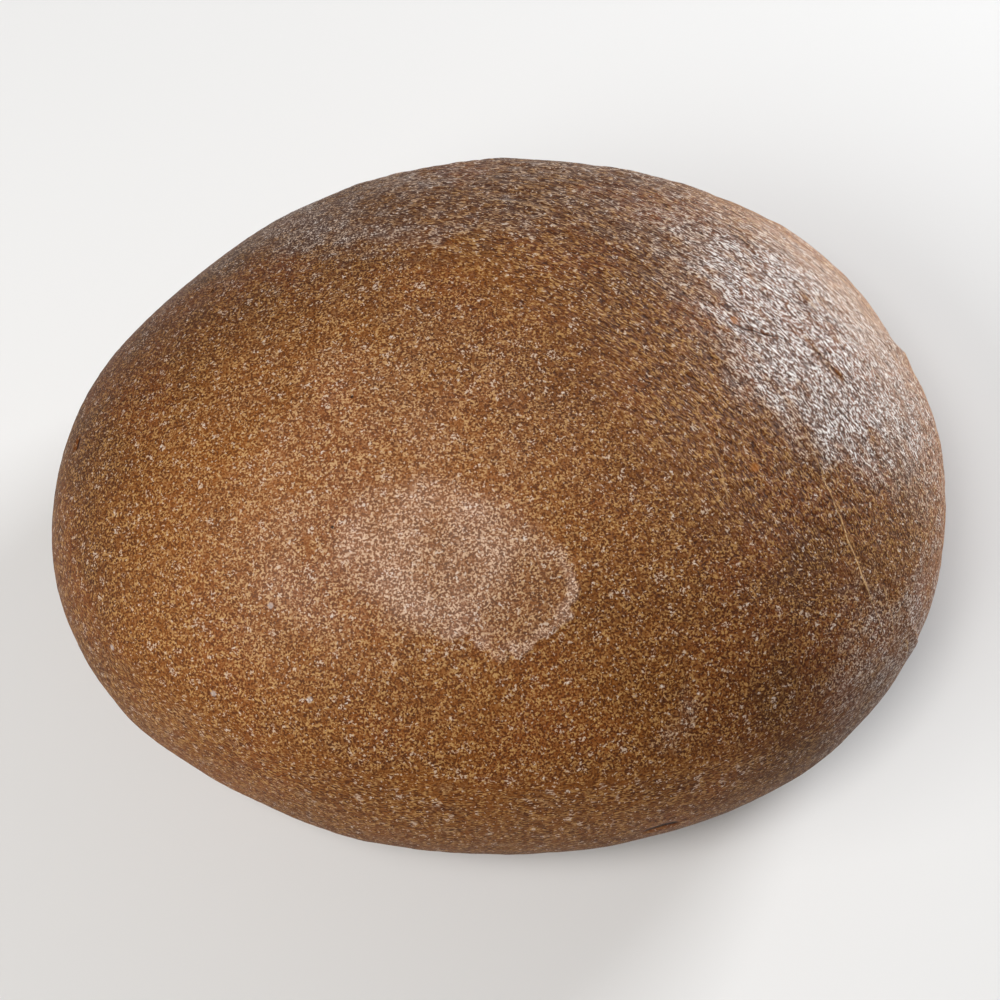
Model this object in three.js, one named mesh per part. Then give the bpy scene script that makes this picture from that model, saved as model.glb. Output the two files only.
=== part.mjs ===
// An oval hearth loaf: one solid of crust and crumb, baked without a tin on a flat stone.
// Units are millimetres and +Z is up. The origin is the middle of the flat base, and X runs along the loaf.

import * as THREE from "three";
import { mergeVertices } from "three/addons/utils/BufferGeometryUtils.js";

// Driving dimensions of the whole loaf.
const LENGTH = 250;
const WIDTH = 206;
const HEIGHT = 100;
const BELLY_HEIGHT = 38; // the widest section stands this far above the base

// Fullness of the form. A power of 2 is an ellipse, and a higher one is squarer.
const PLAN_POWER = 2.1;
const SIDE_POWER = 2.15;
const UNDERSIDE_DEPTH = 60; // how far the round underside would reach below the belly if no stone cut it off
const BASE_EDGE_BLEND = 12; // how softly the flat base turns up into the side

// Broad unevenness of the hand-shaped dough, seen from the middle of the belly section. Azimuth runs
// anticlockwise from +X and elevation upwards, in degrees. Swell is a share of the local radius.
const LUMPS = [
  { azimuth: 146, elevation: 12, spread: 34, swell: -0.065 }, // slack, flattened shoulder
  { azimuth: 205, elevation: -5, spread: 22, swell: 0.01 }, // low bulge beside it
  { azimuth: -50, elevation: 0, spread: 30, swell: 0.012 }, // full flank
  { azimuth: 50, elevation: 55, spread: 30, swell: 0.015 }, // high side of the crown
  { azimuth: -60, elevation: 55, spread: 28, swell: -0.012 }, // low side of the crown
  { azimuth: 170, elevation: 50, spread: 30, swell: 0.01 }, // second rise of the crown
];

// The mesh: rings of points on a unit ball, from just inside the edge of the flat base up to the crown.
const SEGMENTS_AROUND = 64;
const SEGMENTS_UP = 30;
const LOWEST_RING = -48; // elevation in degrees on the ball, where the base is still flat all round

const UP = new THREE.Vector3(0, 0, 1);

// The unit vector at an azimuth and an elevation given in degrees.
function directionAt(azimuth, elevation) {
  const polar = THREE.MathUtils.degToRad(90 - elevation);
  const around = THREE.MathUtils.degToRad(azimuth);
  return new THREE.Vector3(
    Math.sin(polar) * Math.cos(around),
    Math.sin(polar) * Math.sin(around),
    Math.cos(polar),
  );
}

// The smaller of two lengths, with the corner between them rounded over a band of the given size.
function softMinimum(first, second, band) {
  const share = THREE.MathUtils.clamp(0.5 + (0.5 * (second - first)) / band, 0, 1);
  return second * (1 - share) + first * share - band * share * (1 - share);
}

// How much the lumps swell or sink the loaf along a direction, as a factor.
function swellAlong(direction) {
  let factor = 1;
  for (const lump of LUMPS) {
    const angle = direction.angleTo(directionAt(lump.azimuth, lump.elevation));
    const reach = angle / THREE.MathUtils.degToRad(lump.spread);
    factor += lump.swell * Math.exp(-reach * reach);
  }
  return factor;
}

// The distance from the middle of the belly section out to the crust.
function radiusAlong(direction) {
  const depth = direction.z > 0 ? HEIGHT - BELLY_HEIGHT : UNDERSIDE_DEPTH;
  const alongX = Math.abs(direction.x) / (LENGTH / 2);
  const alongY = Math.abs(direction.y) / (WIDTH / 2);
  const plan = (alongX ** PLAN_POWER + alongY ** PLAN_POWER) ** (SIDE_POWER / PLAN_POWER);
  const side = (Math.abs(direction.z) / depth) ** SIDE_POWER;
  const dough = (plan + side) ** (-1 / SIDE_POWER) * swellAlong(direction);
  if (direction.z >= 0) return dough;
  const stone = BELLY_HEIGHT / -direction.z;
  return softMinimum(dough, stone, BASE_EDGE_BLEND);
}

// A closed unit ball with its poles on Z. Its lowest ring is joined straight to the south pole, so that the
// flat base is one fan of triangles.
function unitBall() {
  const profile = [new THREE.Vector2(0, -1)];
  for (let i = 0; i <= SEGMENTS_UP; i++) {
    const elevation = THREE.MathUtils.lerp(LOWEST_RING, 90, i / SEGMENTS_UP);
    const angle = THREE.MathUtils.degToRad(elevation);
    profile.push(new THREE.Vector2(Math.cos(angle), Math.sin(angle)));
  }
  const ball = new THREE.LatheGeometry(profile, SEGMENTS_AROUND).rotateX(Math.PI / 2);
  ball.deleteAttribute("normal");
  ball.deleteAttribute("uv");
  return mergeVertices(ball);
}

// The closed surface of the loaf, scaled to fill its box exactly and standing on z = 0.
function loafGeometry() {
  const geometry = unitBall();
  const spread = new THREE.Vector3(LENGTH / 2, WIDTH / 2, HEIGHT - BELLY_HEIGHT);
  const position = geometry.getAttribute("position");
  const point = new THREE.Vector3();
  for (let i = 0; i < position.count; i++) {
    point.fromBufferAttribute(position, i).multiply(spread).normalize();
    point.multiplyScalar(radiusAlong(point)).addScaledVector(UP, BELLY_HEIGHT);
    position.setXYZ(i, point.x, point.y, Math.max(point.z, 0));
  }

  geometry.computeBoundingBox();
  const size = geometry.boundingBox.getSize(new THREE.Vector3());
  const middle = geometry.boundingBox.getCenter(new THREE.Vector3());
  geometry.translate(-middle.x, -middle.y, 0);
  geometry.scale(LENGTH / size.x, WIDTH / size.y, HEIGHT / size.z);
  geometry.computeVertexNormals();
  return geometry;
}

const crust = new THREE.MeshStandardMaterial({ color: 0x9c6a3f, roughness: 0.6, metalness: 0 });

const loaf = new THREE.Mesh(loafGeometry(), crust);
loaf.name = "loaf";

const group = new THREE.Group();
group.add(loaf);

export default group;
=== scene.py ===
"""The looks of an oval hearth loaf: a finely modelled crust in place of the plain CAD solid.

Everything is in metres, in the frame of the CAD model: +Z is up, X runs along the loaf and its base stands on
z = 0. The crust is a dense closed mesh of the same form, raised and sunk by the relief of the dough, with its
browning, flour and marks kept as values on its points for the material to read.
"""

import math

import bpy
import numpy as np
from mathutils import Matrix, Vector


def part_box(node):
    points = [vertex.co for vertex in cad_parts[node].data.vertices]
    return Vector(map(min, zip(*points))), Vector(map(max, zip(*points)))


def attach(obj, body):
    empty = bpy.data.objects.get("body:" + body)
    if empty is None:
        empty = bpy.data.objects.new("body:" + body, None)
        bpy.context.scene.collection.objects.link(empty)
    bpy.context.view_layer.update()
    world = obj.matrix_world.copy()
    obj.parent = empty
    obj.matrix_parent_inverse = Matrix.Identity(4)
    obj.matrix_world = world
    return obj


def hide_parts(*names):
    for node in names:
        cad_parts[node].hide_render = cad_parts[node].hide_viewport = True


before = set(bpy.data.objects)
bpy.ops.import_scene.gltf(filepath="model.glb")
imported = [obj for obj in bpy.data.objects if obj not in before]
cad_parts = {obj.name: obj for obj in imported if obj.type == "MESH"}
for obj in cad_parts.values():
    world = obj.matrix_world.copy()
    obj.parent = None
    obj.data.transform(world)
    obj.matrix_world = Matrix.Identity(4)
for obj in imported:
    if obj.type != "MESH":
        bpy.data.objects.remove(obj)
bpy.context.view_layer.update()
LOW, HIGH = (np.array(corner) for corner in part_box("loaf"))
LENGTH, WIDTH, HEIGHT = HIGH - LOW

MM = 0.001

# ------------------------------------------------------------------ camera

CAMERA_ELEVATION = 65  # degrees above the horizon, square to the loaf's length
CAMERA_LENS = 60
CAMERA_DISTANCE = 467.4 * MM
CAMERA_TARGET = Vector((0, -5.7 * MM, 42 * MM))


def add_camera():
    """The main view: from high above the near flank."""
    data = bpy.data.cameras.new("camera")
    data.lens = CAMERA_LENS
    data.sensor_width = 36
    camera = bpy.data.objects.new("camera", data)
    elevation = math.radians(CAMERA_ELEVATION)
    back = Vector((0, -math.cos(elevation), math.sin(elevation)))
    camera.location = CAMERA_TARGET + back * CAMERA_DISTANCE
    camera.rotation_euler = back.to_track_quat("Z", "Y").to_euler()
    bpy.context.scene.collection.objects.link(camera)
    bpy.context.scene.camera = camera


# ------------------------------------------------------------------ noise


def smooth_step(low, high, values):
    """0 below low, 1 above high, and an S-curve between; low may be the larger of the two."""
    share = np.clip((values - low) / (high - low), 0, 1)
    return share * share * (3 - 2 * share)


def corner_gradients(cells, seed):
    """A fixed random direction for each whole-number cell corner."""
    x, y, z = cells.T
    mixed = (x * 73856093) ^ (y * 19349663) ^ (z * 83492791) ^ (seed * 2654435761)
    mixed = (mixed ^ (mixed >> 13)) * 1274126177
    mixed = (mixed ^ (mixed >> 16)) & 0xFFFF
    turn = (mixed & 0xFF) * (2 * math.pi / 256)
    rise = ((mixed >> 8) & 0xFF) / 127.5 - 1
    flat = np.sqrt(1 - rise**2)
    return np.stack([flat * np.cos(turn), flat * np.sin(turn), rise], axis=1)


def noise(points, size, seed):
    """Smooth noise of about -1 to 1 whose hills are about size across, the same on every run."""
    scaled = points / size
    cell = np.floor(scaled).astype(np.int64)
    offset = scaled - cell
    fade = offset**3 * (offset * (offset * 6 - 15) + 10)
    total = np.zeros(len(points))
    for corner in np.ndindex(2, 2, 2):
        weight = np.prod(np.where(corner, fade, 1 - fade), axis=1)
        slope = corner_gradients(cell + corner, seed)
        total += weight * np.sum(slope * (offset - corner), axis=1)
    return total * 1.6


def rough_noise(points, size, seed, octaves=3):
    """Noise with finer and fainter noise laid over it."""
    total = np.zeros(len(points))
    for octave in range(octaves):
        total += noise(points, size / 2**octave, seed + 17 * octave) / 2**octave
    return total / 1.5


# ------------------------------------------------------------------ form, as in the CAD solid

BELLY_HEIGHT = 0.38 * HEIGHT
CROWN_HEIGHT = HEIGHT - BELLY_HEIGHT
UNDERSIDE_DEPTH = 0.60 * HEIGHT
PLAN_POWER = 2.1
SIDE_POWER = 2.15
BASE_EDGE_BLEND = 12 * MM
LUMPS = (  # azimuth and elevation in degrees, spread in degrees, swell as a share of the radius
    (146, 12, 34, -0.065),
    (205, -5, 22, 0.010),
    (-50, 0, 30, 0.012),
    (50, 55, 30, 0.015),
    (-60, 55, 28, -0.012),
    (170, 50, 30, 0.010),
)
GRID_STEP = 0.65 * MM
DENTS = (  # place, radius and depth in millimetres, too small for the CAD solid
    (("side", 147, 52), 34, 2.4),
    (("side", 20, 56), 20, 1.5),
    (("side", 112, 50), 22, 1.2),
    (("side", 232, 40), 24, 1.2),
)


def direction_at(azimuth, elevation):
    """The unit vector at an azimuth and an elevation in degrees."""
    around, up = math.radians(azimuth), math.radians(elevation)
    return np.array([math.cos(up) * math.cos(around), math.cos(up) * math.sin(around), math.sin(up)])


def soft_minimum(first, second, band):
    """The smaller of two lengths, with the corner between them rounded over a band of the given size."""
    share = np.clip(0.5 + 0.5 * (second - first) / band, 0, 1)
    return second * (1 - share) + first * share - band * share * (1 - share)


def radius_along(directions):
    """The distance from the middle of the belly section out to the smooth crust."""
    x, y, z = np.abs(directions).T
    depth = np.where(directions[:, 2] > 0, CROWN_HEIGHT, UNDERSIDE_DEPTH)
    plan = ((2 * x / LENGTH) ** PLAN_POWER + (2 * y / WIDTH) ** PLAN_POWER) ** (SIDE_POWER / PLAN_POWER)
    dough = (plan + (z / depth) ** SIDE_POWER) ** (-1 / SIDE_POWER)
    swell = np.ones(len(directions))
    for azimuth, elevation, spread, amount in LUMPS:
        angle = np.arccos(np.clip(directions @ direction_at(azimuth, elevation), -1, 1))
        swell += amount * np.exp(-((angle / math.radians(spread)) ** 2))
    stone = BELLY_HEIGHT / np.maximum(-directions[:, 2], 1e-6)
    return soft_minimum(dough * swell, stone, BASE_EDGE_BLEND)


# Each face of the box grid: its fixed axis and side, the axes that run across it, and its place on the map.
CHARTS = (
    (2, 1, 0, 1, (0.0, 0.5)),
    (2, 0, 1, 0, (0.5, 0.5)),
    (1, 0, 0, 2, (0.0, 0.25)),
    (1, 1, 2, 0, (0.5, 0.25)),
    (0, 1, 1, 2, (0.0, 0.0)),
    (0, 0, 2, 1, (0.5, 0.0)),
)
CHART_MARGIN = 0.004


def box_grid(counts):
    """Whole-number points on the faces of a box of cells, its quads, and the map corners of each quad."""
    corners, maps = [], []
    for fixed, side, first, second, (left, bottom) in CHARTS:
        i, j = np.meshgrid(np.arange(counts[first]), np.arange(counts[second]), indexing="ij")
        width = 0.5 - 2 * CHART_MARGIN
        height = (0.5 if fixed == 2 else 0.25) - 2 * CHART_MARGIN
        for step_i, step_j in ((0, 0), (1, 0), (1, 1), (0, 1)):
            corner = np.zeros((i.size, 3), np.int64)
            corner[:, fixed] = side * counts[fixed]
            corner[:, first] = (i + step_i).ravel()
            corner[:, second] = (j + step_j).ravel()
            corners.append(corner)
            share_i, share_j = (i + step_i) / counts[first], (j + step_j) / counts[second]
            right, up = (1 - share_j, share_i) if first == 2 else (share_i, share_j)
            place = [left + CHART_MARGIN + width * right, bottom + CHART_MARGIN + height * up]
            maps.append(np.stack(place, axis=-1).reshape(-1, 2))
    corners_all = np.concatenate(corners)
    span = counts.max() + 1
    code = (corners_all[:, 0] * span + corners_all[:, 1]) * span + corners_all[:, 2]
    _, first_seen, index = np.unique(code, return_index=True, return_inverse=True)
    grid = corners_all[first_seen]
    quads, places, start = [], [], 0
    for face in range(len(CHARTS)):
        size = len(corners[4 * face])
        quads.append(np.stack([index[start + n * size : start + (n + 1) * size] for n in range(4)], axis=1))
        places.append(np.stack(maps[4 * face : 4 * face + 4], axis=1))
        start += 4 * size
    return grid, np.concatenate(quads), np.concatenate(places)


def point_normals(points, quads):
    """The outward normal at each point of a closed quad mesh."""
    first, second, third, fourth = (points[quads[:, n]] for n in range(4))
    faces = np.cross(third - first, fourth - second)
    total = np.zeros_like(points)
    for n in range(4):
        for axis in range(3):
            total[:, axis] += np.bincount(quads[:, n], faces[:, axis], len(points))
    return total / np.linalg.norm(total, axis=1, keepdims=True)


class Crust:
    """The smooth surface of the loaf as arrays, one row for each point, and where each point lies on it."""

    def __init__(self):
        spread = np.array([LENGTH / 2, WIDTH / 2, CROWN_HEIGHT])
        other = np.array([CROWN_HEIGHT, CROWN_HEIGHT, (LENGTH + WIDTH) / 4])
        arc = math.pi / 2 * np.sqrt(0.82 * spread**2 + 0.18 * other**2)
        counts = np.round(arc / GRID_STEP).astype(int)
        grid, self.quads, self.map = box_grid(counts)
        ball = np.tan((grid / counts * 2 - 1) * math.pi / 4)
        ball /= np.linalg.norm(ball, axis=1, keepdims=True)
        directions = ball * spread
        directions /= np.linalg.norm(directions, axis=1, keepdims=True)
        points = directions * radius_along(directions)[:, None]
        points[:, 2] = np.maximum(points[:, 2] + BELLY_HEIGHT, 0)
        low, high = points.min(axis=0), points.max(axis=0)
        self.points = LOW + (points - low) * (HIGH - LOW) / (high - low)
        self.normals = point_normals(self.points, self.quads)
        self.along = self.points[:, 0] / (LENGTH / 2)
        self.across = self.points[:, 1] / (WIDTH / 2)
        self.azimuth = np.degrees(np.arctan2(self.points[:, 1], self.points[:, 0]))
        self.around = np.arctan2(ball[:, 1], ball[:, 0])
        self.up = np.arcsin(np.clip(ball[:, 2], -1, 1))
        self.underside = smooth_step(-0.55, -0.9, self.normals[:, 2])

    def top(self, along, across):
        """The point of the upper crust over a place given as shares of half the length and half the width."""
        miss = np.hypot((self.along - along) * LENGTH, (self.across - across) * WIDTH)
        return self.points[np.argmin(miss + np.where(self.normals[:, 2] > 0, 0, LENGTH))]

    def side(self, azimuth, height):
        """The point of the side at an azimuth in degrees and a height in millimetres above the base."""
        turn = np.radians(np.abs((self.azimuth - azimuth + 180) % 360 - 180))
        return self.points[np.argmin(turn * LENGTH / 2 + np.abs(self.points[:, 2] - height * MM))]

    def place(self, kind, first, second):
        return self.top(first, second) if kind == "top" else self.side(first, second)

    def spot(self, place, radius):
        """1 at a place, fading to 0 over about a radius."""
        distance = np.linalg.norm(self.points - self.place(*place), axis=1)
        return np.exp(-((distance / radius) ** 2))

    def oval(self, place, along, across, turn=0):
        """1 at a place on the crown, and 0 on an oval of those radii round it, turned in degrees."""
        offset = self.points - self.place(*place)
        angle = math.radians(turn)
        x = offset[:, 0] * math.cos(angle) + offset[:, 1] * math.sin(angle)
        y = offset[:, 1] * math.cos(angle) - offset[:, 0] * math.sin(angle)
        return 1 - np.sqrt((x / along) ** 2 + (y / across) ** 2 + (offset[:, 2] / max(along, across)) ** 2)

    def beside_line(self, places):
        """Each point's signed distance from a line through some places, and its place along it, 0 to 1."""
        line = smooth_line([self.place(*place) for place in places])
        margin = LINE_REACH * 2
        near = np.all((self.points > line.min(0) - margin) & (self.points < line.max(0) + margin), axis=1)
        points, normals = self.points[near], self.normals[near]
        best = np.full(len(points), np.inf)
        signed, share = np.zeros(len(points)), np.zeros(len(points))
        for n, (start, end) in enumerate(zip(line, line[1:])):
            step = end - start
            part = np.clip((points - start) @ step / (step @ step), 0, 1)
            off = points - start - part[:, None] * step
            distance = np.linalg.norm(off, axis=1)
            nearer = distance < best
            best[nearer] = distance[nearer]
            side = np.sign(np.sum(off * np.cross(normals, step), axis=1))
            signed[nearer] = (distance * side)[nearer]
            share[nearer] = (n + part[nearer]) / (len(line) - 1)
        all_signed, all_share = np.full(len(self.points), LENGTH), np.zeros(len(self.points))
        all_signed[near], all_share[near] = signed, share
        return all_signed, all_share


def smooth_line(places, steps=8):
    """A smooth line of points through a few places."""
    places = [2 * places[0] - places[1], *places, 2 * places[-1] - places[-2]]
    line = []
    for before, start, end, after in zip(places, places[1:], places[2:], places[3:]):
        for t in np.arange(steps) / steps:
            curve = 2 * before - 5 * start + 4 * end - after
            turn = 3 * start - before - 3 * end + after
            line.append((2 * start + (end - before) * t + curve * t**2 + turn * t**3) / 2)
    return np.array([*line, places[-2]])


# ------------------------------------------------------------------ marks on the crust

LINE_REACH = 2.4 * MM
CREASE_HEIGHT = 0.35 * MM
CRACK_DEPTH = 0.45 * MM
LINE_WAVER = 0.5 * MM
LEAST_CREASE = 0.5  # how much of a crease is left where it is most broken

# Thin lines: 1 for a raised pale crease and -1 for a dark crack, half their width in millimetres, and the
# places that they run through. A "top" place is given as shares of half the length and half the width, and a
# "side" place as an azimuth in degrees and a height in millimetres. Seen from outside, the skin is raised on
# the left of a crack and sunk on the left of a crease.
LINES = (
    (0.9, 0.36, [("top", 0.62, -0.08), ("top", 0.69, -0.29), ("top", 0.75, -0.44), ("top", 0.80, -0.54)]),
    (0.7, 0.40, [("top", 0.79, -0.41), ("top", 0.82, -0.52)]),
    (0.8, 0.50, [("top", 0.85, -0.50), ("side", -27, 42)]),
    (0.5, 0.35, [("top", 0.38, -0.02), ("top", 0.43, -0.16), ("top", 0.46, -0.33)]),
    (0.5, 0.35, [("top", -0.04, 0.61), ("top", 0.04, 0.59), ("top", 0.13, 0.54)]),
    (-0.8, 0.34, [("top", 0.48, 0.21), ("top", 0.53, 0.193), ("top", 0.59, 0.188)]),
    (-0.7, 0.30, [("top", 0.63, 0.34), ("top", 0.66, 0.31)]),
    (-0.7, 0.30, [("top", 0.71, 0.27), ("top", 0.735, 0.24)]),
    (-1.0, 1.30, [("side", -64.2, 41.2), ("side", -66.3, 42.4), ("side", -68, 41.6), ("side", -70.2, 41.0)]),
    (-1.0, 0.80, [("side", 180.9, 64.4), ("side", 178.2, 64.2)]),
    (-0.6, 0.50, [("side", 128, 22), ("side", 137, 25), ("side", 146, 23)]),
    (-0.6, 0.45, [("side", 40, 16), ("side", 47, 18), ("side", 53, 17)]),
    (0.45, 0.40, [("top", -0.40, 0.80), ("top", -0.20, 0.90), ("top", 0.05, 0.93)]),
    (0.40, 0.35, [("side", 95, 48), ("side", 112, 44), ("side", 126, 47)]),
    (-0.5, 0.40, [("side", 212, 17), ("side", 220, 17), ("side", 226, 15)]),
)
PITS = (
    ("top", -0.63, 0.40), ("top", -0.33, -0.36), ("top", -0.30, -0.03), ("side", 160, 50), ("side", 75, 60),
    ("side", 10, 30), ("side", 240, 34), ("side", 118, 66), ("side", -40, 24),
)
GRAINS = (("top", -0.45, -0.53), ("top", -0.80, -0.55), ("top", -0.57, -0.70), ("top", -0.37, -0.73))
CARAMEL_SPOTS = (("top", 0.49, 0.22), ("top", 0.51, -0.19), ("side", 100, 55))
SKIN_TAGS = ((("side", 15.5, 63), 100), (("side", -24, 50), 60), (("side", 130, 40), 200))
SMUDGES = (("top", 0.37, -0.74), ("top", 0.33, -0.81))

# Places where the crust is darker, or paler where the amount is below 0: place, radius in millimetres
# and amount. The small spot beside the raised lobe of the pale patch is a painted shadow of that lobe.
TONE_SPOTS = (
    (("top", 0.66, -0.55), 42, 0.42),
    (("top", 0.05, 0.35), 16, -0.14),
    (("top", 0.20, 0.20), 50, 0.18),
    (("top", 0.60, -0.15), 30, 0.12),
    (("top", -0.64, 0.42), 50, 0.40),
    # Painted shadow beside the raised lobe of the pale patch.
    (("top", 0.20, -0.56), 11, 0.10),
    (("top", -0.40, -0.26), 46, -0.24),
)
MEAN_DARKNESS = 0.43


def line_marks(crust):
    """The distance from a line in half widths, its kind and strength, and the relief that the lines make.

    The distance means something only where the kind isn't 0.
    """
    offset = np.full(len(crust.points), LINE_REACH)
    kind = np.zeros(len(crust.points))
    relief = np.zeros(len(crust.points))
    waver = rough_noise(crust.points, 5 * MM, 41)
    broken = smooth_step(-0.8, 0.2, noise(crust.points, 4 * MM, 42))
    # Creases fade in places, and cracks run whole.
    for strength, half_width, places in LINES:
        signed, share = crust.beside_line(places)
        signed = signed + LINE_WAVER * waver
        distance = np.abs(signed)
        ends = smooth_step(0, 0.15, share) * smooth_step(1, 0.8, share)
        if strength > 0:
            ends = ends * np.maximum(broken, LEAST_CREASE)
        near = distance < LINE_REACH
        offset[near] = signed[near] / (half_width * MM)
        kind[near] = (strength * ends * smooth_step(LINE_REACH, LINE_REACH / 2, distance))[near]
        height = CREASE_HEIGHT if strength > 0 else CRACK_DEPTH
        width = (half_width + 0.35) * MM
        beside = np.exp(-(((signed - 1.6 * width) / width) ** 2))
        relief += strength * height * ends * (np.exp(-((distance / width) ** 2)) - 0.6 * beside)
    return offset, kind, relief


def pale_patch(crust):
    """How much rosy flour lies on and round a fold of skin on the crown, with a painted highlight on its
    edge, and where it is raised.
    """
    main = crust.oval(("top", -0.14, -0.43), 29 * MM, 21 * MM, -4) * 24
    lobe = crust.oval(("top", 0.03, -0.53), 15 * MM, 12.5 * MM, 35) * 14
    inside = np.maximum(main, lobe)
    inside += 4.0 * rough_noise(crust.points, 11 * MM, 31) + 2.4 * rough_noise(crust.points, 3.5 * MM, 32)
    open_side = crust.spot(("top", 0.06, -0.12), 24 * MM) + crust.spot(("top", -0.42, -0.45), 16 * MM)
    softness = 0.5 + 8 * np.clip(open_side, 0, 1) + 3.5 * smooth_step(-0.05, -0.2, crust.along)
    laid = smooth_step(-1, 1, inside / softness)
    full = 0.26 + 0.52 * smooth_step(-2, 10, main)
    # A painted highlight along the fold's raised edge, strongest where that edge is crisp.
    rim = smooth_step(4.5, 1.5, inside) * smooth_step(2.5, 1.0, softness)
    crumpled = 0.45 + 0.9 * noise(crust.points, 5 * MM, 34) + 0.9 * crust.spot(("top", 0.11, -0.50), 8 * MM)
    rim *= np.clip(crumpled, 0, 1.3)
    cloudy = 0.95 + 0.8 * rough_noise(crust.points, 12 * MM, 33)
    halo = 0.28 * crust.spot(("top", -0.26, -0.24), 42 * MM) * cloudy
    halo += 0.34 * crust.spot(("top", -0.40, -0.46), 17 * MM) * cloudy
    return np.clip(np.maximum(laid * (full * cloudy + 0.7 * rim), halo), 0, 1.1), laid


class Marks:
    """Everything that the material reads: values on the points, each under the name of its attribute."""

    def __init__(self, crust):
        self.crust = crust
        self.line_offset, self.line_kind, self.line_relief = line_marks(crust)
        self.patch, self.laid = pale_patch(crust)
        self.side = smooth_step(0.86, 0.45, crust.normals[:, 2])
        drawn = 1.4 * crust.spot(("top", 0.70, 0.14), 56 * MM)
        drawn += 1.1 * crust.spot(("top", 0.08, 0.82), 58 * MM)
        self.fan_stretch = 0.9 * np.clip(drawn, 0, 1) * (1 - crust.underside)
        self.ring_stretch = 0.5 * self.side * (1 - crust.underside) * (1 - self.fan_stretch)
        self.pit = sum(crust.spot(place, 0.75 * MM) for place in PITS)
        self.grain = sum(crust.spot(place, 1.0 * MM) for place in GRAINS)
        self.caramel = sum(crust.spot(place, 1.4 * MM) for place in CARAMEL_SPOTS)
        # A painted highlight on the drawn skin at the far right, laid on as white flour and made less
        # rough, and a painted reflection, a pale veil over the rim beyond it.
        wide = smooth_step(-0.3, 0.75, crust.oval(("top", 0.63, 0.23), 52 * MM, 36 * MM, -50))
        core = smooth_step(-0.45, 0.7, crust.oval(("top", 0.70, 0.18), 36 * MM, 26 * MM, -54))
        self.gloss_and_painted_highlight = 0.42 * wide + 0.58 * core
        # The painted reflection: a pale veil over the far right rim.
        edge = smooth_step(0.72, 0.86, np.hypot(crust.along, crust.across))
        self.painted_rim_reflection = edge * crust.spot(("top", 0.74, 0.36), 42 * MM) * (1 - crust.underside)
        self.bake = self.darkening()
        self.flour = self.flour_and_highlight()
        self.ring_space = self.in_rings(1.0 * MM, 0.54 * MM)
        self.fan_space = self.in_fan(1.4 * MM, 0.46 * MM)

    def darkening(self):
        """How dark the crust is, from 0 to 1."""
        c = self.crust
        bake = MEAN_DARKNESS + 0.12 * rough_noise(c.points, 45 * MM, 51)
        bake += 0.06 * rough_noise(c.points, 12 * MM, 52)
        for place, radius, amount in TONE_SPOTS:
            bake += amount * c.spot(place, radius * MM)
        # Darker at the far flank, the left end, the near rim and low down, and paler at the right end.
        far_flank = smooth_step(0.10, 0.75, c.across) * smooth_step(0.8, 0.2, c.along)
        left_end = smooth_step(-0.60, -0.95, c.along)
        right_end = smooth_step(0.84, 0.97, c.along)
        near_rim = smooth_step(-0.55, -0.95, c.across)
        low_rim = smooth_step(40 * MM, 12 * MM, c.points[:, 2])
        bake += 0.42 * far_flank + 0.34 * left_end - 0.15 * right_end + 0.15 * near_rim + 0.34 * low_rim
        return np.clip(bake, 0, 1)

    def flour_and_highlight(self):
        """How thickly flour lies, from 0 to 1, counting in the painted highlight at the far right."""
        c = self.crust
        patches = 0.5 + 0.5 * rough_noise(c.points, 22 * MM, 61)
        streaks = 0.5 + 0.5 * noise(self.in_rings(16 * MM, 3.5 * MM), 1, 62)
        flour = 0.02 + 0.24 * self.side * patches
        flour += 0.30 * c.spot(("top", -0.55, 0.62), 50 * MM) * (0.1 + 1.2 * patches)
        flour += 0.22 * c.oval(("top", -0.20, 0.50), 40 * MM, 13 * MM, -4).clip(0, 1) * (0.4 + patches)
        ragged = 0.05 * rough_noise(c.points, 14 * MM, 65)
        strip = smooth_step(0.60, 0.74, c.along + ragged) * smooth_step(-0.20, -0.55, c.across + ragged)
        flour += 0.36 * strip * (0.75 + 0.5 * noise(self.in_rings(20 * MM, 1.4 * MM), 1, 64))
        # The painted highlight on the drawn skin at the far right, laid on as white flour.
        flour += 1.35 * self.gloss_and_painted_highlight * (0.76 + 0.9 * rough_noise(self.in_fan(14 * MM, 3.5 * MM), 1, 63, 2))
        flour += 0.24 * smooth_step(0.80, 0.93, c.along) * (0.5 + streaks)
        flour += 0.32 * self.fan_stretch * smooth_step(0.2, 0.7, c.across) * (0.4 + patches)
        flour += sum(0.25 * c.spot(place, 5 * MM) for place in SMUDGES)
        flour += 0.55 * c.underside * (0.4 + patches)
        return np.clip(flour, 0, 1)

    def in_rings(self, length, width):
        """Coordinates in which marks that run round the loaf are one unit long and one unit wide."""
        c = self.crust
        turns = (LENGTH + WIDTH) / 4 / length
        climb = c.up * (LENGTH + WIDTH + 2 * HEIGHT) / 6 / width
        return np.stack([turns * np.cos(c.around), turns * np.sin(c.around), climb], axis=1)

    def in_fan(self, length, width):
        """The same for marks that run in wide arcs about a point beyond the near left of the loaf."""
        offset = self.crust.points - np.array([-0.30 * LENGTH, -0.70 * WIDTH, 0])
        angle = np.arctan2(offset[:, 1], offset[:, 0])
        away = np.hypot(offset[:, 0], offset[:, 1])
        return np.stack([angle * 0.9 * LENGTH / length, away / width, offset[:, 2] / width], axis=1)

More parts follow.
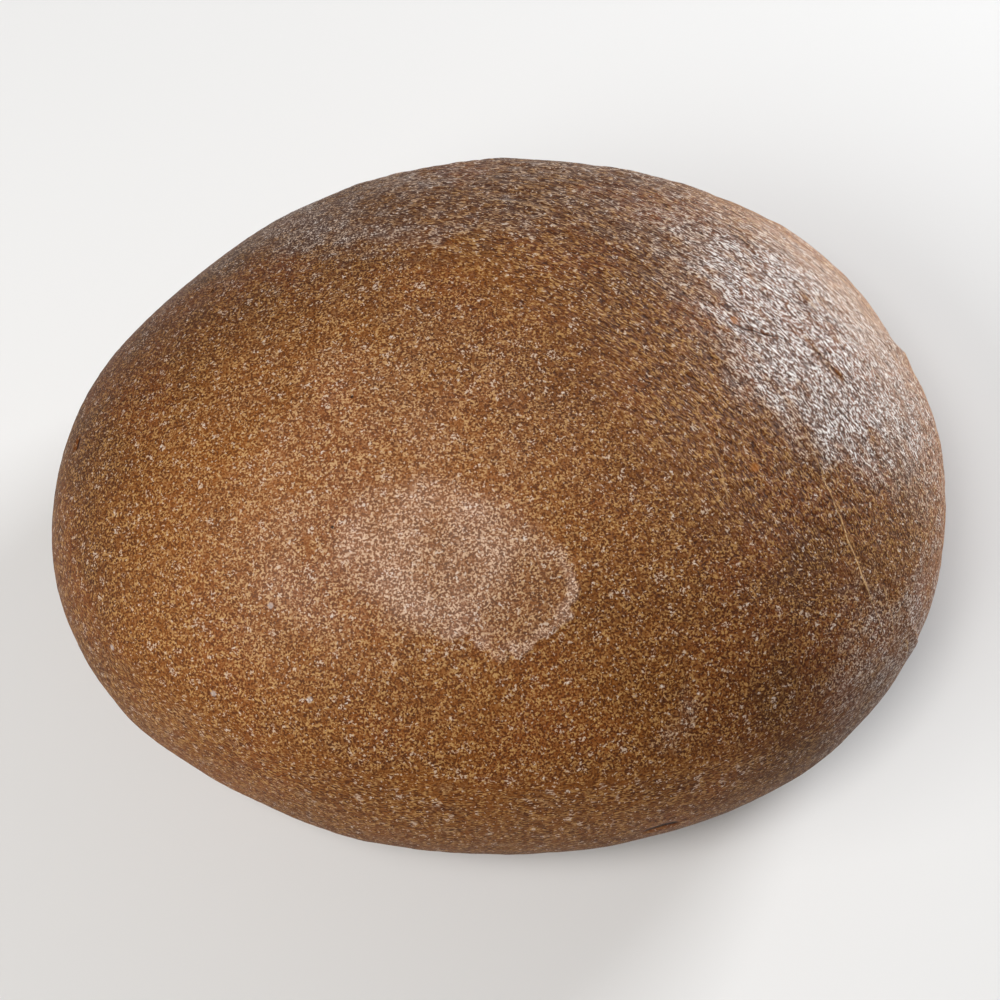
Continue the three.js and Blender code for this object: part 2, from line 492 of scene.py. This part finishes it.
    def relief(self):
        """How far the crust stands out from the smooth form, in metres."""
        c = self.crust
        total = 0.9 * MM * noise(c.points, 60 * MM, 71)
        total += 0.30 * MM * noise(c.points, 17 * MM, 72)
        total -= sum(depth * MM * c.spot(place, radius * MM) for place, radius, depth in DENTS)
        total += 0.10 * MM * rough_noise(c.points, 6 * MM, 73)
        total += 0.055 * MM * noise(c.points, 2.4 * MM, 74)
        rings = noise(self.in_rings(30 * MM, 6 * MM), 1, 75)
        total += 0.22 * MM * self.ring_stretch * rings
        fans = noise(self.in_fan(26 * MM, 6 * MM), 1, 76)
        wrinkles = noise(self.in_fan(14 * MM, 2.6 * MM), 1, 77)
        wrinkles += 0.6 * noise(self.in_fan(6 * MM, 1.8 * MM), 1, 78)
        total += self.fan_stretch * (0.30 * MM * fans + 0.40 * MM * wrinkles)
        total += 0.35 * MM * self.laid
        total += self.line_relief - 0.6 * MM * self.pit + 0.3 * MM * self.grain
        for place, turn in SKIN_TAGS:
            total += self.skin_tag(place, turn)
        return total * (1 - 0.8 * c.underside) + self.base_relief()

    def skin_tag(self, place, turn):
        """A flake of skin that lifts towards one side and ends there in a torn edge."""
        c = self.crust
        offset = c.points - c.place(*place)
        angle = math.radians(turn)
        forward = offset[:, 0] * math.cos(angle) + offset[:, 1] * math.sin(angle)
        ragged = forward + 0.5 * MM * noise(c.points, 2.5 * MM, 81)
        lift = smooth_step(-9 * MM, 0, ragged) * smooth_step(0.9 * MM, 0, ragged)
        return 1.1 * MM * lift * np.exp(-((np.linalg.norm(offset, axis=1) / (7 * MM)) ** 2))

    def base_relief(self):
        """Shallow dimples of the underside, all sunk into it, so that the loaf still stands on its base."""
        c = self.crust
        dimples = smooth_step(0.15, 0.75, noise(c.points, 7 * MM, 91))
        dimples += 0.6 * smooth_step(0.2, 0.8, noise(c.points, 3 * MM, 92))
        return -0.5 * MM * c.underside * dimples


# ------------------------------------------------------------------ material


class Nodes:
    """Short calls that add shader nodes to a material and wire them up."""

    def __init__(self, material):
        material.use_nodes = True
        self.tree = material.node_tree
        self.tree.nodes.clear()

    def add(self, kind, **settings):
        node = self.tree.nodes.new(kind)
        for name, value in settings.items():
            setattr(node, name, value)
        return node

    def put(self, socket, value):
        """Links an output to a socket, or sets the socket to a plain value."""
        if isinstance(value, bpy.types.NodeSocket):
            self.tree.links.new(value, socket)
        else:
            socket.default_value = value

    def attribute(self, name, output="Fac"):
        return self.add("ShaderNodeAttribute", attribute_name=name).outputs[output]

    def noise(self, coordinates, size, detail=1.0, distortion=0.0):
        """Noise from 0 to 1 whose hills are about size across."""
        node = self.add("ShaderNodeTexNoise")
        self.put(node.inputs["Vector"], coordinates)
        node.inputs["Scale"].default_value = 1 / size
        node.inputs["Detail"].default_value = detail
        node.inputs["Distortion"].default_value = distortion
        return node.outputs["Fac"]

    def math(self, operation, first, second=0.0):
        node = self.add("ShaderNodeMath", operation=operation)
        self.put(node.inputs[0], first)
        self.put(node.inputs[1], second)
        return node.outputs[0]

    def total(self, *values):
        result = values[0]
        for value in values[1:]:
            result = self.math("ADD", result, value)
        return result

    def times(self, *values):
        result = values[0]
        for value in values[1:]:
            result = self.math("MULTIPLY", result, value)
        return result

    def step(self, low, high, value, to_low=0.0, to_high=1.0):
        """An S-curve from to_low, where value is at most low, to to_high, where it is at least high."""
        node = self.add("ShaderNodeMapRange", interpolation_type="SMOOTHSTEP")
        for socket, entry in zip(node.inputs[:5], (value, low, high, to_low, to_high)):
            self.put(socket, entry)
        return node.outputs["Result"]

    def mix(self, share, first, second):
        """A blend of two colours."""
        node = self.add("ShaderNodeMix", data_type="RGBA", clamp_factor=True)
        self.put(node.inputs["Factor"], share)
        self.put(node.inputs[6], first)
        self.put(node.inputs[7], second)
        return node.outputs[2]

    def blend(self, share, first, second):
        """A blend of two numbers."""
        node = self.add("ShaderNodeMix", data_type="FLOAT", clamp_factor=True)
        self.put(node.inputs[0], share)
        self.put(node.inputs[2], first)
        self.put(node.inputs[3], second)
        return node.outputs[0]


def linear(red, green, blue):
    """A colour for a shader from one given as it looks on screen, 0 to 255."""
    shares = (channel / 255 for channel in (red, green, blue))
    return (*(c / 12.92 if c <= 0.04045 else ((c + 0.055) / 1.055) ** 2.4 for c in shares), 1.0)


SKIN_LIGHT = linear(158, 88, 12)
SKIN_DARK = linear(62, 28, 3)
SKIN_RED = linear(128, 60, 8)
STRING_LIGHT = linear(201, 155, 92)
STRING_DARK = linear(153, 112, 64)
# White flour, also the colour of the painted highlight at the far right.
FLOUR_AND_HIGHLIGHT = linear(234, 230, 228)
ROSY_FLOUR = linear(238, 208, 186)
# The colour of the painted reflection over the far right rim.
RIM_REFLECTION = linear(206, 172, 142)
CRACK = linear(38, 20, 10)
RAW_CRUST = linear(128, 66, 14)
CARAMEL = linear(158, 94, 30)
CREASE = linear(205, 165, 115)

GRAIN_SIZE = 0.58 * MM
GRAIN_HEIGHT = 0.32 * MM
SPECK_SIZE = 0.8 * MM
COVER_SIZE = 1.9 * MM
DAB_SIZE = 2.4 * MM
CLUMP_SIZE = 4 * MM
BLUSH_SIZE = 26 * MM
FILM_SHARES = (0.10, 0.90)  # the flour values, the painted highlight counted in, at which the film begins and is full
MEAN_ROUGHNESS = 0.62


def crust_grain(n, place, patch, flour_film_and_highlight, fan):
    """Crooked strings and the hollows between them, drawn out where the skin was stretched.

    Gives the height of the grain, the hollows, the ridges of the drawn skin, how far strings cover the skin,
    and how much paler some of them are.
    """
    hills = n.noise(place, GRAIN_SIZE, detail=1.0, distortion=0.5)
    fan_space = n.attribute("fan_space", "Vector")
    fan_hills = n.noise(fan_space, 1.0, detail=1.0, distortion=0.4)
    ring_hills = n.noise(n.attribute("ring_space", "Vector"), 1.0, detail=1.0, distortion=0.4)
    hills = n.blend(n.step(0.25, 0.6, fan), hills, fan_hills)
    hills = n.blend(n.step(0.2, 0.5, n.attribute("ring_stretch")), hills, ring_hills)
    strings = n.step(0.47, 0.62, hills)
    hollows = n.step(0.50, 0.36, hills)
    ridges = n.math("SUBTRACT", n.noise(fan_space, 3.2, detail=1.0), 0.5)
    ridges = n.times(ridges, fan)
    dabs = n.step(0.62, 0.70, n.noise(place, DAB_SIZE, detail=1.0))
    cover = n.total(n.noise(place, COVER_SIZE, detail=2.0), n.times(0.2, dabs))
    # Flour and the painted highlight at the far right raise the cover of strings.
    cover = n.total(cover, n.times(0.11, patch), n.times(0.20, flour_film_and_highlight), n.times(1.2, ridges))
    cover = n.step(0.37, 0.61, cover, 0.20, 1.0)
    specks = n.step(0.64, 0.72, n.noise(place, SPECK_SIZE))
    grain = n.math("MAXIMUM", n.times(strings, cover), n.times(0.9, specks))
    paler = n.total(n.times(0.30, specks), n.times(0.30, dabs))
    return hills, hollows, ridges, grain, paler


def skin_colour(n, place, tone, patch, flour_film_and_highlight, painted_rim_reflection, hollows, ridges):
    """Skin as dark as the crust's tone, darker still in the hollows as painted shade, a little paler under
    flour.
    """
    skin = n.mix(tone, SKIN_LIGHT, SKIN_DARK)
    reddish = n.noise(place, BLUSH_SIZE, detail=2.0)
    skin = n.mix(n.step(0.48, 0.66, reddish, 0.0, 0.35), skin, SKIN_RED)
    # The brown skin between the strings is its own colour; its darkening in the hollows and in the troughs of
    # the drawn ridges is painted shade.
    depth = n.times(hollows, n.total(0.50, n.times(0.5, tone), n.times(-0.06, patch)))
    skin = n.mix(n.total(depth, n.times(-2.4, ridges)), skin, SKIN_DARK)
    skin = n.mix(n.times(0.13, patch), skin, ROSY_FLOUR)
    # Flour and the painted highlight at the far right pale the skin a little.
    skin = n.mix(n.times(0.07, flour_film_and_highlight), skin, FLOUR_AND_HIGHLIGHT)
    # The painted reflection over the far right rim.
    return n.mix(n.times(0.26, painted_rim_reflection), skin, ROSY_FLOUR)


def string_colour(n, tone, patch, flour_film_and_highlight, painted_rim_reflection, paler):
    """Strings of paler dough, which take most of the flour, the painted highlight and the painted reflection.
    """
    colour = n.mix(tone, STRING_LIGHT, STRING_DARK)
    colour = n.mix(n.times(0.75, patch), colour, ROSY_FLOUR)
    # Flour and the painted highlight at the far right whiten the strings.
    colour = n.mix(n.times(0.9, flour_film_and_highlight), colour, FLOUR_AND_HIGHLIGHT)
    # The painted reflection over the far right rim pales the strings.
    colour = n.mix(n.times(0.36, painted_rim_reflection), colour, RIM_REFLECTION)
    return n.mix(paler, colour, FLOUR_AND_HIGHLIGHT)


def add_marks(n, colour, clumps):
    """The colour with creases, cracks, pits, grains and caramel spots, and where creases and cracks lie."""
    caramel = n.times(n.attribute("caramel"), n.total(1.0, n.times(2.0, clumps)))
    kind = n.attribute("line_kind")
    from_line = n.math("ABSOLUTE", n.attribute("line_offset"))
    line = n.step(1.0, 0.25, from_line)
    crease = n.times(line, n.math("MAXIMUM", kind, 0.0))
    cracked = n.math("MAXIMUM", n.math("MULTIPLY", kind, -1.0), 0.0)
    crack = n.times(line, cracked)
    colour = n.mix(n.times(0.6, n.step(2.4, 0.8, from_line), cracked), colour, RAW_CRUST)
    colour = n.mix(n.times(0.85, crease), colour, CREASE)
    colour = n.mix(n.step(0.25, 0.65, caramel, 0.0, 0.85), colour, CARAMEL)
    colour = n.mix(n.step(0.35, 0.75, n.attribute("grain_spot"), 0.0, 0.35), colour, FLOUR_AND_HIGHLIGHT)
    pit = n.step(0.45, 0.8, n.attribute("pit"))
    colour = n.mix(n.times(0.95, n.math("MAXIMUM", crack, pit)), colour, CRACK)
    return colour, crease, crack


def crust_material():
    """Browned skin under fine, worm-like strings of paler dough and flour, with creases and cracks."""
    # The colour holds painted shade in the hollows, and a painted highlight and a painted reflection at the
    # far right.
    material = bpy.data.materials.new("baked_crust")
    n = Nodes(material)
    place = n.add("ShaderNodeTexCoord").outputs["Object"]
    patch = n.attribute("patch")
    fan = n.attribute("fan_stretch")
    # The painted reflection over the far right rim.
    painted_rim_reflection = n.attribute("painted_rim_reflection")
    clumps = n.math("SUBTRACT", n.noise(place, CLUMP_SIZE, detail=3.0), 0.5)
    # The film holds flour and the painted highlight at the far right.
    flour_film_and_highlight = n.step(*FILM_SHARES, n.total(n.attribute("flour"), n.times(0.6, clumps)))
    tone = n.total(n.attribute("bake"), n.times(0.4, clumps))
    hills, hollows, ridges, grain, paler = crust_grain(n, place, patch, flour_film_and_highlight, fan)
    skin = skin_colour(n, place, tone, patch, flour_film_and_highlight, painted_rim_reflection, hollows, ridges)
    strings = string_colour(n, tone, patch, flour_film_and_highlight, painted_rim_reflection, paler)
    colour, crease, crack = add_marks(n, n.mix(grain, skin, strings), clumps)

    # Relief too fine for the mesh, and the roughness, lowest on the glossy place that also carries the
    # painted highlight.
    height = n.total(hills, n.times(2.8, ridges), n.times(0.8, clumps))
    height = n.total(height, n.times(0.15, crease), n.times(-0.8, crack))
    bump = n.add("ShaderNodeBump")
    bump.inputs["Strength"].default_value = 1.0
    bump.inputs["Distance"].default_value = GRAIN_HEIGHT
    n.put(bump.inputs["Height"], n.times(height, n.total(1.0, n.times(1.6, fan))))
    sheen = n.times(n.attribute("gloss_and_painted_highlight"), n.total(-0.38, n.times(0.30, hollows)))
    rough = n.total(MEAN_ROUGHNESS, n.times(0.2, clumps), n.times(0.08, flour_film_and_highlight), sheen, n.times(-0.14, patch))

    shader = n.add("ShaderNodeBsdfPrincipled")
    n.put(shader.inputs["Base Color"], colour)
    n.put(shader.inputs["Roughness"], rough)
    n.put(shader.inputs["Normal"], bump.outputs["Normal"])
    shader.inputs["IOR"].default_value = 1.5
    shader.inputs["Specular IOR Level"].default_value = 0.20
    output = n.add("ShaderNodeOutputMaterial")
    n.put(output.inputs["Surface"], shader.outputs["BSDF"])
    return material


# ------------------------------------------------------------------ the loaf


def write_values(mesh, name, values):
    """Keeps one number, or one vector, for each point of the mesh."""
    kind, key = ("FLOAT_VECTOR", "vector") if values.ndim == 2 else ("FLOAT", "value")
    attribute = mesh.attributes.new(name, kind, "POINT")
    attribute.data.foreach_set(key, values.astype(np.float32).ravel())


def add_loaf():
    """The whole loaf as one closed piece."""
    crust = Crust()
    marks = Marks(crust)
    points = crust.points + crust.normals * marks.relief()[:, None]
    points[:, 2] = np.maximum(points[:, 2], 0)
    mesh = bpy.data.meshes.new("loaf_crust")
    mesh.from_pydata(points, [], crust.quads)
    layer = mesh.uv_layers.new(name="OFBake")
    layer.data.foreach_set("uv", crust.map.astype(np.float32).ravel())
    mesh.shade_smooth()
    # Some of these values carry a painted highlight and a painted reflection at the far right of the crust.
    for name, values in (
        ("bake", marks.bake), ("flour", marks.flour), ("patch", marks.patch),
        ("ring_stretch", marks.ring_stretch), ("ring_space", marks.ring_space),
        ("fan_stretch", marks.fan_stretch), ("fan_space", marks.fan_space), ("gloss_and_painted_highlight", marks.gloss_and_painted_highlight),
        ("painted_rim_reflection", marks.painted_rim_reflection), ("line_offset", marks.line_offset), ("line_kind", marks.line_kind),
        ("pit", marks.pit), ("grain_spot", marks.grain), ("caramel", marks.caramel),
    ):
        write_values(mesh, name, values)
    mesh.materials.append(crust_material())
    loaf = bpy.data.objects.new("loaf_crust", mesh)
    bpy.context.scene.collection.objects.link(loaf)
    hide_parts("loaf")
    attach(loaf, "root")
    return loaf


# ------------------------------------------------------------------ floor and light

FLOOR_SIZE = 6.0


def add_floor():
    """A plain pale floor under the loaf."""
    half = FLOOR_SIZE / 2
    mesh = bpy.data.meshes.new("floor")
    corners = [(-half, -half, 0), (half, -half, 0), (half, half, 0), (-half, half, 0)]
    mesh.from_pydata(corners, [], [(0, 1, 2, 3)])
    material = bpy.data.materials.new("pale_floor")
    n = Nodes(material)
    shader = n.add("ShaderNodeBsdfPrincipled")
    shader.inputs["Base Color"].default_value = (0.80, 0.80, 0.80, 1)
    shader.inputs["Roughness"].default_value = 0.9
    output = n.add("ShaderNodeOutputMaterial")
    n.put(output.inputs["Surface"], shader.outputs["BSDF"])
    mesh.materials.append(material)
    floor = bpy.data.objects.new("floor", mesh)
    bpy.context.scene.collection.objects.link(floor)


def add_light(name, azimuth, elevation, distance, width, height, power, colour):
    """A soft rectangular light that faces the loaf from a direction given in degrees."""
    data = bpy.data.lights.new(name, "AREA")
    data.shape = "RECTANGLE"
    data.size, data.size_y = width, height
    data.energy = power
    data.color = colour
    light = bpy.data.objects.new(name, data)
    direction = Vector(direction_at(azimuth, elevation))
    light.location = Vector((0, 0, HEIGHT / 2)) + direction * distance
    light.rotation_euler = direction.to_track_quat("Z", "Y").to_euler()
    bpy.context.scene.collection.objects.link(light)


def add_lights():
    """A cool window at the far right, a warm soft light overhead to the left, and a white room."""
    add_light("window", 45, 16, 1.4, 0.50, 0.40, 23, (0.96, 0.98, 1.0))
    add_light("overhead", 225, 68, 1.2, 0.40, 0.40, 6, (1.0, 0.97, 0.94))
    add_light("fill", 210, 36, 1.5, 1.1, 0.8, 13, (1.0, 0.98, 0.95))
    world = bpy.data.worlds.new("room")
    world.use_nodes = True
    background = world.node_tree.nodes["Background"]
    background.inputs["Color"].default_value = (1, 1, 1, 1)
    background.inputs["Strength"].default_value = 0.12
    bpy.context.scene.world = world
    bpy.context.scene.view_settings.view_transform = "Standard"


add_camera()
add_loaf()
add_floor()
add_lights()
